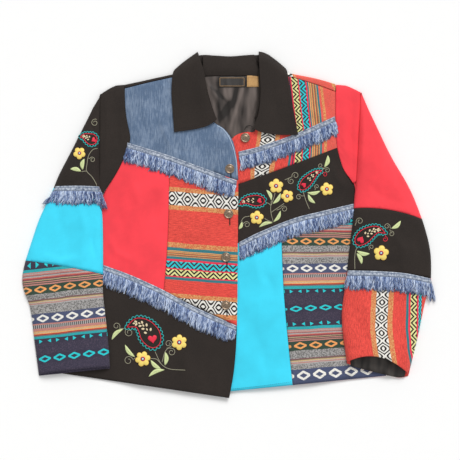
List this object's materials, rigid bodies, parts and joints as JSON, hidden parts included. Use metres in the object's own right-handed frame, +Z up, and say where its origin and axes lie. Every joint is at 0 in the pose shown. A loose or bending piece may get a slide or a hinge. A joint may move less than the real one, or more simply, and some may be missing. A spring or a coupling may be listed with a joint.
{
  "type": "patchwork jacket",
  "caption": "Short buttoned jacket pieced from plain, striped and embroidered cloth with frayed denim strips, laid flat on its back.",
  "frame": {"origin": "middle of the jacket's box in plan, on the surface it lies on", "axes": "+X to the picture's right across the fronts, +Y from the hem to the collar, +Z up off the surface"},
  "size_m": [0.7378, 0.6238, 0.0244],
  "materials": {
    "black_twill": "soft brown-black twill",
    "denim": "mid-blue denim",
    "denim_fringe": "frayed blue denim",
    "red_twill": "coral red twill",
    "turquoise_twill": "turquoise twill",
    "ikat_weave": "red striped weave",
    "stripe_weave": "multi-stripe weave",
    "satin_lining": "dark satin",
    "label_weave": "woven label",
    "antique_brass": "antique, darkened in the hollows"
  },
  "bodies": {
    "root": {"back_left": "black_twill", "back_right": "ikat_weave", "black_hem_panel": "black_twill", "black_panel": "black_twill", "button_1": "antique_brass", "button_2": "antique_brass", "button_3": "antique_brass", "button_4": "antique_brass", "button_5": "antique_brass", "collar_fall": "black_twill", "collar_leaf_l": "black_twill", "collar_leaf_r": "black_twill", "collar_stand": "black_twill", "denim_fringe_1": "denim_fringe", "denim_fringe_2": "denim_fringe", "denim_fringe_3": "denim_fringe", "denim_fringe_4": "denim_fringe", "denim_yoke": "denim", "ikat_panel": "ikat_weave", "ikat_yoke": "ikat_weave", "neck_label": "label_weave", "neck_lining": "satin_lining", "red_panel": "red_twill", "size_label": "label_weave", "sleeve_l_black": "black_twill", "sleeve_l_cuff": "stripe_weave", "sleeve_l_fringe": "denim_fringe", "sleeve_l_gusset": "black_twill", "sleeve_l_turquoise": "turquoise_twill", "sleeve_l_under_black": "black_twill", "sleeve_l_under_cuff": "stripe_weave", "sleeve_l_under_turquoise": "turquoise_twill", "sleeve_r_black": "black_twill", "sleeve_r_cuff": "ikat_weave", "sleeve_r_fringe": "denim_fringe", "sleeve_r_gusset": "red_twill", "sleeve_r_lining": "satin_lining", "sleeve_r_red": "red_twill", "sleeve_r_under_black": "black_twill", "sleeve_r_under_cuff": "ikat_weave", "sleeve_r_under_red": "red_twill", "striped_panel": "stripe_weave", "turquoise_panel": "turquoise_twill"}
  },
  "joints": []
}
